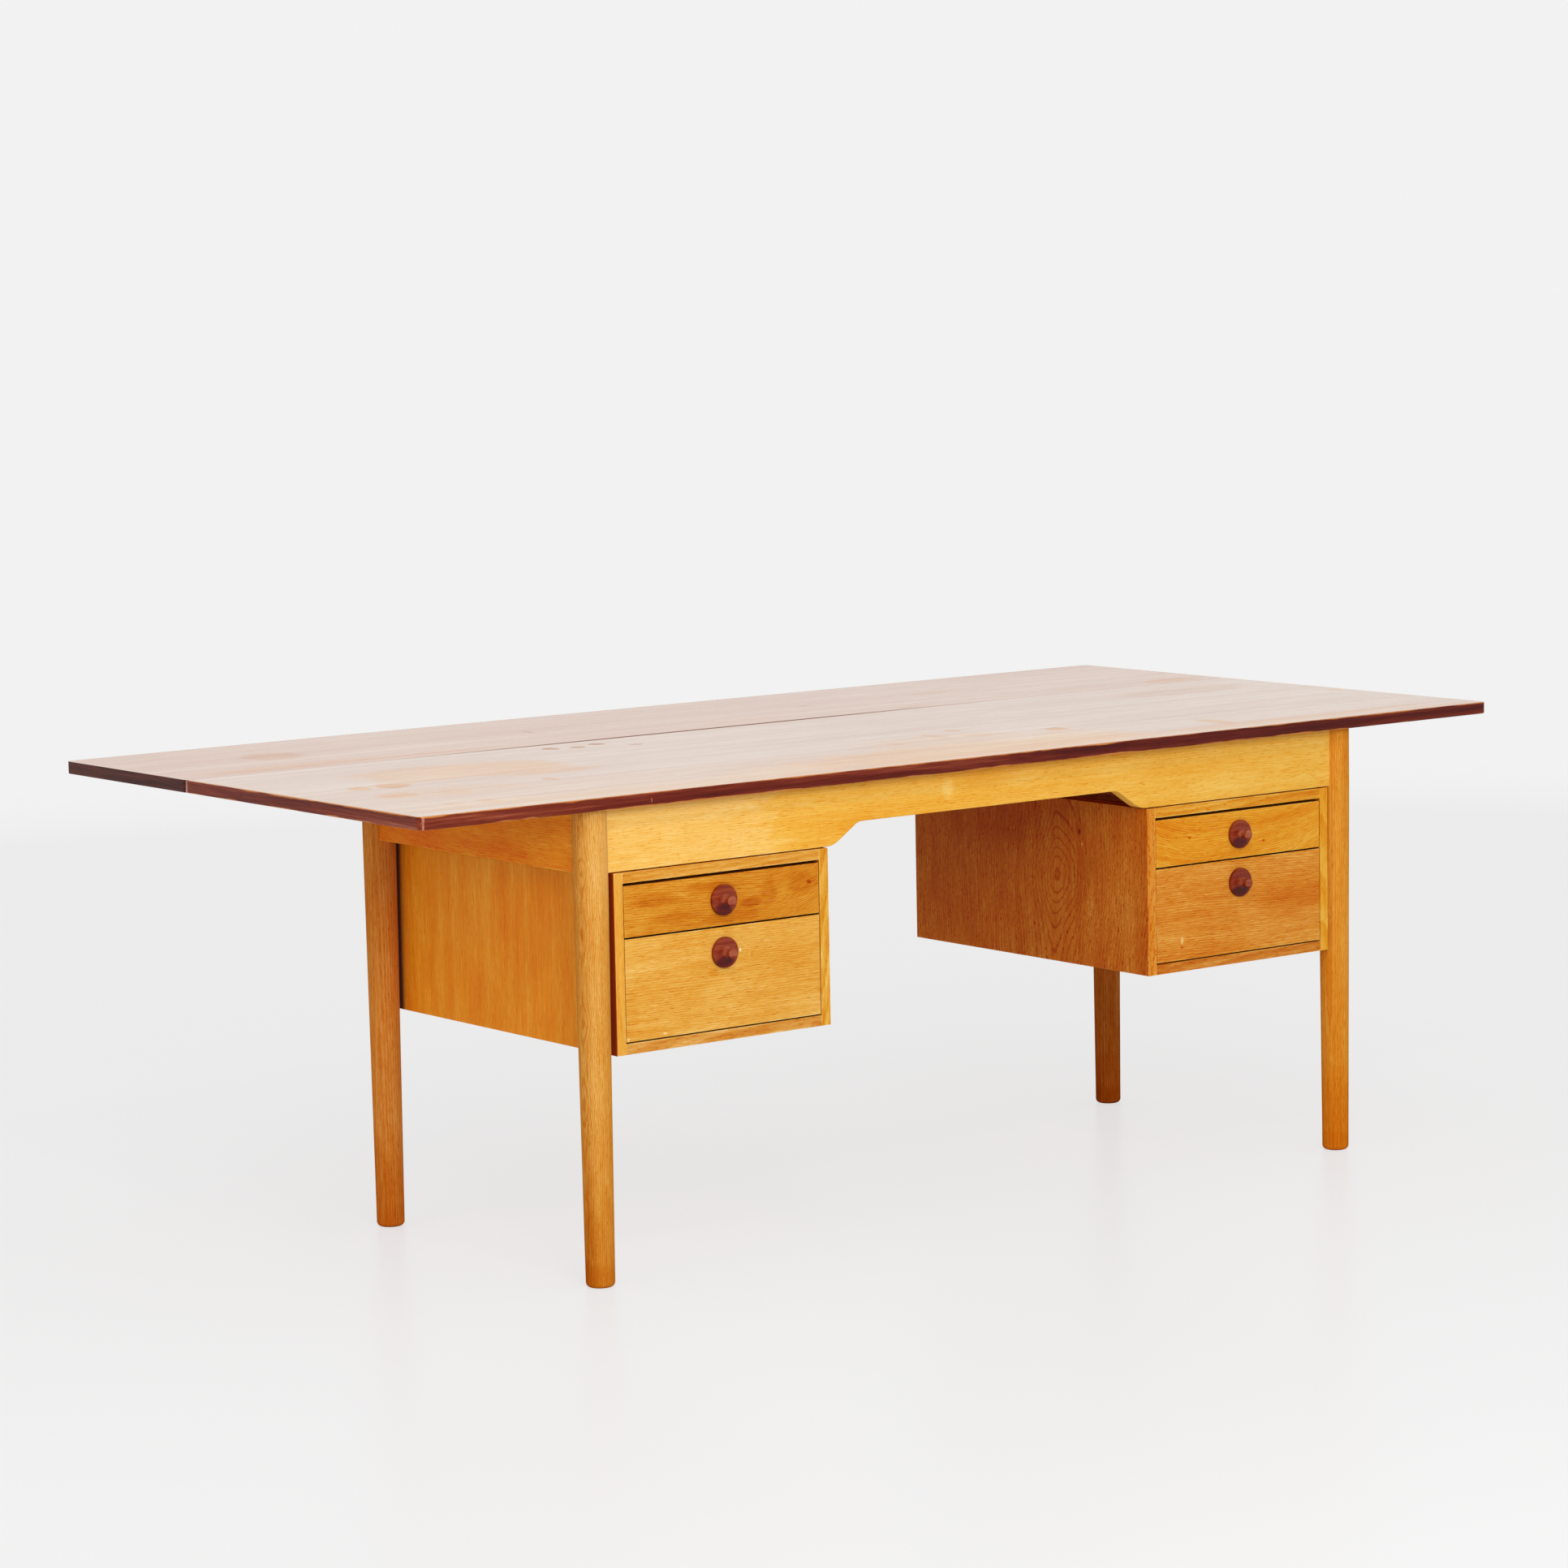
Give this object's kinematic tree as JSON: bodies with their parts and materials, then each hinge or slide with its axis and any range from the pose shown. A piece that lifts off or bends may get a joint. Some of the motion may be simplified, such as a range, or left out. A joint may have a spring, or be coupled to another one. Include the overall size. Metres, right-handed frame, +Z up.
{
  "type": "writing desk",
  "caption": "Long writing desk with a raised drop leaf at the back, round tapered legs and hanging drawer cases with turned knobs.",
  "frame": {"origin": "on the floor, in the middle of the length and of the whole depth with the leaf raised", "axes": "+Z up, +X towards the sitter's right along the length, drawers open towards -Y"},
  "size_m": [2.115, 1.012, 0.72],
  "materials": {
    "teak_veneer": "worn satin oil",
    "teak_lipping": "oiled, darker than the veneer",
    "turned_teak": "polished",
    "oak_leg": "clear satin lacquer",
    "oak_apron": "clear satin lacquer",
    "oak_case": "clear satin lacquer",
    "oak_drawer_front": "clear satin lacquer",
    "plywood": "sanded plywood",
    "drawer_box_wood": "waxed pale hardwood",
    "hidden_oak": "sanded oak",
    "hinge_brass": "dull brass",
    "screw_steel": "plain steel"
  },
  "bodies": {
    "frame": {"apron_back": "oak_apron", "apron_front": "oak_apron", "apron_left": "oak_apron", "apron_right": "oak_apron", "bearer_guides": "hidden_oak", "case_left_back": "plywood", "case_left_bottom": "oak_case", "case_left_inner_side": "oak_case", "case_left_outer_side": "oak_case", "case_left_runners": "hidden_oak", "case_left_top": "oak_case", "case_right_back": "plywood", "case_right_bottom": "oak_case", "case_right_inner_side": "oak_case", "case_right_outer_side": "oak_case", "case_right_runners": "hidden_oak", "case_right_top": "oak_case", "case_screws": "screw_steel", "cross_rails_left": "hidden_oak", "cross_rails_right": "hidden_oak", "hinge_fixed_plates": "hinge_brass", "hinge_fixed_screws": "screw_steel", "hinge_pins": "hinge_brass", "leg_back_left": "oak_leg", "leg_back_right": "oak_leg", "leg_front_left": "oak_leg", "leg_front_right": "oak_leg", "main_top_lipping": "teak_lipping", "main_top_panel": "teak_veneer", "top_glue_blocks": "hidden_oak"},
    "leaf": {"hinge_leaf_plates": "hinge_brass", "hinge_leaf_screws": "screw_steel", "leaf_lipping": "teak_lipping", "leaf_panel": "teak_veneer"},
    "leaf_bearer_left": {"leaf_bearer_left": "hidden_oak"},
    "leaf_bearer_right": {"leaf_bearer_right": "hidden_oak"},
    "drawer_left_upper": {"drawer_left_upper_back": "drawer_box_wood", "drawer_left_upper_bottom": "plywood", "drawer_left_upper_front": "oak_drawer_front", "drawer_left_upper_knob": "turned_teak", "drawer_left_upper_left_side": "drawer_box_wood", "drawer_left_upper_right_side": "drawer_box_wood"},
    "drawer_left_lower": {"drawer_left_lower_back": "drawer_box_wood", "drawer_left_lower_bottom": "plywood", "drawer_left_lower_front": "oak_drawer_front", "drawer_left_lower_knob": "turned_teak", "drawer_left_lower_left_side": "drawer_box_wood", "drawer_left_lower_right_side": "drawer_box_wood"},
    "drawer_right_upper": {"drawer_right_upper_back": "drawer_box_wood", "drawer_right_upper_bottom": "plywood", "drawer_right_upper_front": "oak_drawer_front", "drawer_right_upper_knob": "turned_teak", "drawer_right_upper_left_side": "drawer_box_wood", "drawer_right_upper_right_side": "drawer_box_wood"},
    "drawer_right_lower": {"drawer_right_lower_back": "drawer_box_wood", "drawer_right_lower_bottom": "plywood", "drawer_right_lower_front": "oak_drawer_front", "drawer_right_lower_knob": "turned_teak", "drawer_right_lower_left_side": "drawer_box_wood", "drawer_right_lower_right_side": "drawer_box_wood"}
  },
  "joints": [
    {"name": "leaf_hinge", "type": "hinge", "parent": "frame", "child": "leaf", "pos_m": [0, 0.1323, 0.6967], "axis": [1, 0, 0], "range_deg": [-90, 0]},
    {"name": "leaf_bearer_left_slide", "type": "slide", "parent": "frame", "child": "leaf_bearer_left", "axis": [0, 1, 0], "range_m": [0, 0.26]},
    {"name": "leaf_bearer_right_slide", "type": "slide", "parent": "frame", "child": "leaf_bearer_right", "axis": [0, 1, 0], "range_m": [0, 0.26]},
    {"name": "drawer_left_upper_slide", "type": "slide", "parent": "frame", "child": "drawer_left_upper", "axis": [0, -1, 0], "range_m": [0, 0.4]},
    {"name": "drawer_left_lower_slide", "type": "slide", "parent": "frame", "child": "drawer_left_lower", "axis": [0, -1, 0], "range_m": [0, 0.4]},
    {"name": "drawer_right_upper_slide", "type": "slide", "parent": "frame", "child": "drawer_right_upper", "axis": [0, -1, 0], "range_m": [0, 0.4]},
    {"name": "drawer_right_lower_slide", "type": "slide", "parent": "frame", "child": "drawer_right_lower", "axis": [0, -1, 0], "range_m": [0, 0.4]}
  ]
}
